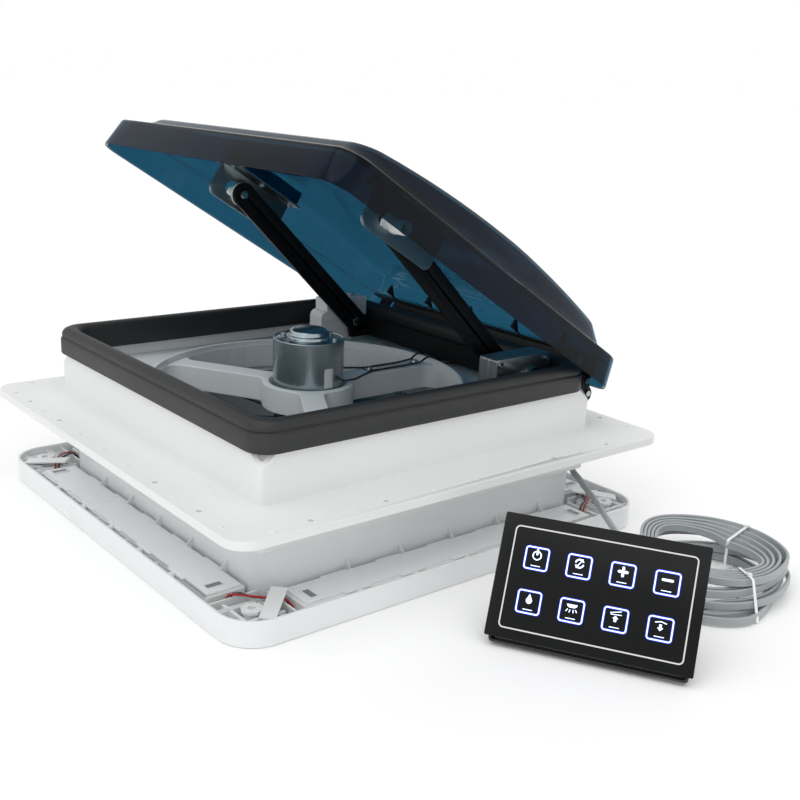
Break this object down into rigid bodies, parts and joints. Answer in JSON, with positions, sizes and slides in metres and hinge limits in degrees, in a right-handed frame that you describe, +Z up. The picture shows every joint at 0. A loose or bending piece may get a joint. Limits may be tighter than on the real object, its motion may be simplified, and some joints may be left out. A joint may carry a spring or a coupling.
{
  "type": "roof vent cover",
  "caption": "Powered roof vent for a caravan: flanged square frame, smoked tilting lid on lift arms, extractor fan in a round shroud, lit ceiling trim, touch panel on a coiled flat cable.",
  "frame": {"origin": "centre of the ceiling trim at its lower face, in the middle of the four corner screw holes", "axes": "+Z up through the roof, +Y towards the lid hinge, +X towards the lift drive"},
  "size_m": [0.7225, 0.5112, 0.3795],
  "materials": {
    "white_plastic": "moulded, satin white",
    "shroud_plastic": "moulded, satin pale grey",
    "trim_plastic": "moulded, slightly glossy white",
    "light_plastic": "moulded, milky white",
    "seal_rubber": "foamed rubber, matt charcoal",
    "black_rubber": "matt black",
    "motor_steel": "zinc-plated, drawn",
    "screw_steel": "zinc-plated",
    "shaft_steel": "turned, bright",
    "cast_zinc": "die-cast, fine grained",
    "brass_gear": "hobbed, satin",
    "black_steel": "satin black powder coat",
    "bracket_steel": "stamped, satin",
    "white_nylon": "turned nylon",
    "smoked_acrylic": "vacuum-formed, polished, dark blue smoked",
    "rotor_plastic": "moulded, smoky teal",
    "black_plastic": "moulded, fine grained",
    "screen_mesh": "coated fibre mesh",
    "strip_board": "lamp strip",
    "lead_red": "wire insulation",
    "lead_black": "wire insulation",
    "panel_black_glass": "polished black glass with printed frame and lit symbols",
    "circuit_board": "solder mask",
    "key_guide": "clear light guide",
    "grey_cable": "flat, grooved, satin grey"
  },
  "bodies": {
    "frame": {"roof_frame": "white_plastic", "lid_seal": "seal_rubber", "fan_shroud": "shroud_plastic", "motor_spider": "shroud_plastic", "motor_can": "motor_steel", "motor_end_bell": "motor_steel", "end_bell_screws": "screw_steel", "spider_screws": "screw_steel", "motor_leads": "lead_black", "gearbox_body": "cast_zinc", "gearbox_plate": "cast_zinc", "gearbox_cover": "cast_zinc", "gearbox_screws": "screw_steel", "shaft_bush": "shaft_steel", "lift_motor": "motor_steel", "support_block": "white_plastic", "support_screw": "screw_steel", "hinge_brackets": "black_steel", "hinge_pins": "shaft_steel", "hinge_bracket_screws": "screw_steel", "trim_ring": "trim_plastic", "trim_duct": "trim_plastic", "insect_screen": "screen_mesh", "light_boxes": "light_plastic", "light_strips": "strip_board", "light_leads_red": "lead_red", "light_leads_black": "lead_black", "panel_glass": "panel_black_glass", "panel_bezel": "black_plastic", "panel_box": "black_plastic", "panel_board": "circuit_board", "key_lights": "key_guide", "cable_grommet": "black_rubber", "panel_grommet": "black_rubber", "cable_lead": "grey_cable", "cable_coil": "grey_cable", "cable_tail": "grey_cable", "cable_ties": "white_nylon"},
    "lid": {"lid_shell": "smoked_acrylic", "bracket_near": "bracket_steel", "bracket_far": "bracket_steel", "bracket_screws": "screw_steel", "hinge_strip": "black_plastic", "hinge_screws": "screw_steel"},
    "lift": {"lift_arm_near": "black_steel", "lift_arm_far": "black_steel", "arm_crossbar": "black_steel", "roller_pins": "shaft_steel", "drive_shaft": "shaft_steel", "worm_wheel": "brass_gear", "pivot_bolt": "shaft_steel"},
    "roller_near": {"roller_near": "white_nylon"},
    "roller_far": {"roller_far": "white_nylon"},
    "fan": {"fan_rotor": "rotor_plastic", "motor_shaft": "shaft_steel", "rotor_nut": "screw_steel"},
    "worm": {"worm": "shaft_steel"}
  },
  "joints": [
    {"name": "lid_hinge", "type": "hinge", "parent": "frame", "child": "lid", "pos_m": [0, 0.204, 0.131], "axis": [-1, 0, 0], "range_deg": [-31.6, 0]},
    {"name": "lift_pivot", "type": "hinge", "parent": "frame", "child": "lift", "pos_m": [0, 0.137, 0.153], "axis": [-1, 0, 0], "range_deg": [-41.9, 0]},
    {"name": "roller_near_spin", "type": "hinge", "parent": "lift", "child": "roller_near", "pos_m": [0.137, -0.01751, 0.30537], "axis": [1, 0, 0], "continuous": true},
    {"name": "roller_far_spin", "type": "hinge", "parent": "lift", "child": "roller_far", "pos_m": [-0.137, -0.01751, 0.30537], "axis": [1, 0, 0], "continuous": true},
    {"name": "fan_spin", "type": "hinge", "parent": "frame", "child": "fan", "pos_m": [0, -0.0155, 0.085], "axis": [0, 0, 1], "continuous": true},
    {"name": "worm_spin", "type": "hinge", "parent": "frame", "child": "worm", "pos_m": [0.1525, 0.157, 0.15], "axis": [0, 0, 1], "range_deg": [-1010, 0]}
  ],
  "couplings": [
    {"joint": "lift_pivot", "follows": "lid_hinge", "ratio": 1.324},
    {"joint": "worm_spin", "follows": "lid_hinge", "ratio": 31.776}
  ]
}
